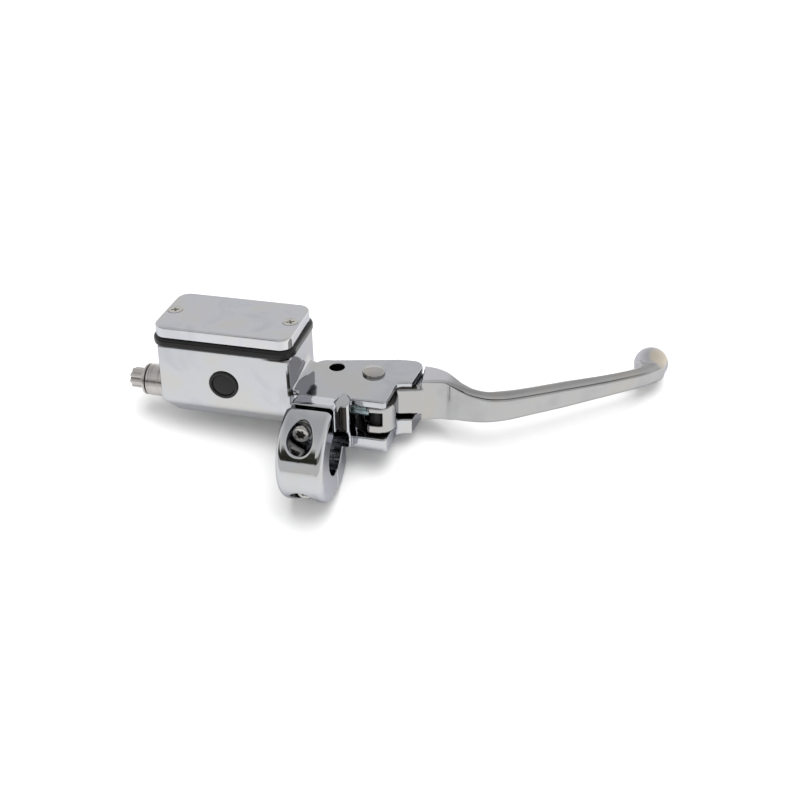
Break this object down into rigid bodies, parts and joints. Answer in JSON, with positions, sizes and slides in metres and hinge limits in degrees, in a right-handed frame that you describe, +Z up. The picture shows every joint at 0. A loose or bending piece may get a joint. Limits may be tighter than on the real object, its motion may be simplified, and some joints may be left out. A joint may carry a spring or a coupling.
{
  "type": "brake master cylinder",
  "caption": "Motorcycle handlebar brake master cylinder with a rectangular reservoir, a split bar clamp, a piston with pushrod and a curved lever ending in a ball.",
  "frame": {"origin": "centre of the handlebar clamp, on the handlebar's axis, halfway along the clamp", "axes": "+X along the handlebar towards its end and the lever's ball, +Y forward away from the rider, +Z up, out of the reservoir's cover"},
  "size_m": [0.3008, 0.1534, 0.0851],
  "materials": {
    "chrome_casting": "bright chrome plating on a casting, with faint waviness",
    "chrome_cover": "bright chrome plating",
    "chrome_lever": "bright chrome plating",
    "polished_pin": "chrome plating with a satin domed head",
    "black_rubber": "smooth matt rubber",
    "black_plastic": "matt black plastic",
    "glass_rim": "satin black rim",
    "dark_glass": "glossy and nearly opaque",
    "zinc_screw": "zinc plating",
    "zinc_rod": "bluish zinc plating",
    "bolt_steel": "polished zinc plating",
    "spring_steel": "plain spring steel",
    "turned_aluminium": "fine turning marks",
    "bronze_bushing": "plain bearing bronze"
  },
  "bodies": {
    "bracket": {"body_casting": "chrome_casting", "reservoir_cover": "chrome_cover", "diaphragm": "black_rubber", "diaphragm_plate": "black_plastic", "cover_screws": "zinc_screw", "sight_glass_rim": "glass_rim", "sight_glass": "dark_glass", "port_baffle": "spring_steel", "clamp_cap": "chrome_casting", "clamp_bolts": "bolt_steel", "clamp_washers": "bolt_steel", "outlet_adapter": "turned_aluminium", "sealing_washers": "turned_aluminium", "washer_seal": "black_rubber", "banjo_bolt": "turned_aluminium", "pivot_pin": "polished_pin", "pivot_clip": "spring_steel", "pivot_shims": "spring_steel", "stop_washer": "spring_steel", "bore_circlip": "spring_steel", "dust_boot": "black_rubber", "return_spring": "spring_steel"},
    "lever": {"lever": "chrome_lever", "pivot_bushing": "bronze_bushing"},
    "barrel": {"pushrod_barrel": "black_plastic"},
    "piston": {"piston": "turned_aluminium", "primary_cup": "black_rubber", "secondary_cup": "black_rubber", "spring_seat": "spring_steel", "pushrod": "zinc_rod"}
  },
  "joints": [
    {"name": "lever_pivot", "type": "hinge", "parent": "bracket", "child": "lever", "pos_m": [0.0226, 0.0448, 0.01095], "axis": [0, 0, 1], "range_deg": [-17, 0], "stiffness_Nm_per_rad": 0.8, "springref_deg": 20.05},
    {"name": "barrel_turn", "type": "hinge", "parent": "lever", "child": "barrel", "pos_m": [0.0297, 0.0252, 0.01095], "axis": [0, 0, 1], "range_deg": [0, 17.2]},
    {"name": "piston_slide", "type": "slide", "parent": "bracket", "child": "piston", "axis": [1, 0, 0], "range_m": [-0.0062, 0], "deforming": ["return_spring"]}
  ],
  "couplings": [
    {"joint": "barrel_turn", "follows": "lever_pivot", "ratio": -1},
    {"joint": "piston_slide", "follows": "lever_pivot", "m_per_rad": 0.02036}
  ]
}
